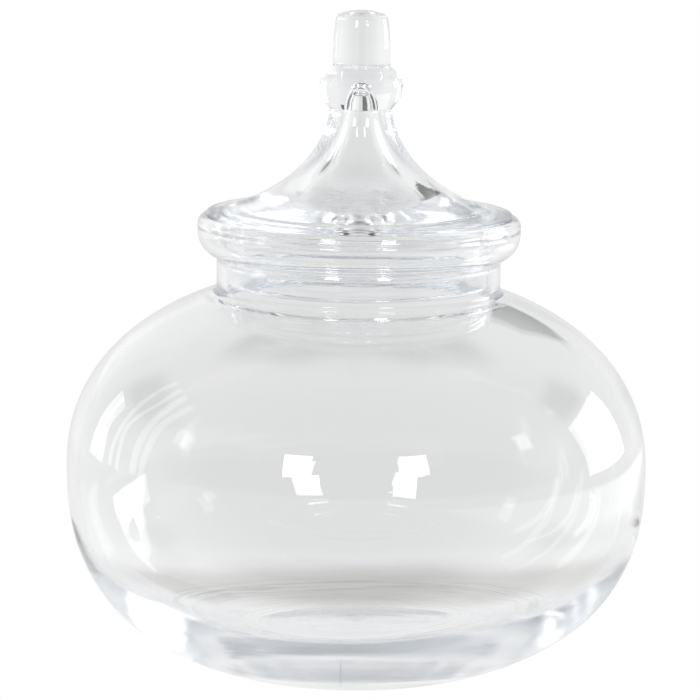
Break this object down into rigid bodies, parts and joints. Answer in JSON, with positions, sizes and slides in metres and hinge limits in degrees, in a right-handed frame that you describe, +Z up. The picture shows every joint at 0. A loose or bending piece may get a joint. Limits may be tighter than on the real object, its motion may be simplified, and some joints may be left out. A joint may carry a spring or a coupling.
{
  "type": "apothecary jar",
  "caption": "Round-bellied clear glass apothecary jar with a rounded collar and a lift-off flared lid that carries a knop and grip knob.",
  "frame": {"origin": "centre of the foot, on the surface that the jar stands on", "axes": "+Z up along the jar's axis; the jar is round, so +X and +Y are free"},
  "size_m": [0.2596, 0.2596, 0.295],
  "materials": {
    "jar_glass": "clear blown glass, fire-polished",
    "lid_glass": "clear blown glass, fire-polished"
  },
  "bodies": {
    "jar": {"jar": "jar_glass"},
    "lid": {"lid_bell": "lid_glass", "lid_sleeve": "lid_glass", "lid_knop": "lid_glass", "lid_knob": "lid_glass"}
  },
  "joints": [
    {"name": "lid_lift", "type": "slide", "parent": "jar", "child": "lid", "axis": [0, 0, 1], "range_m": [0, 0.15]}
  ]
}
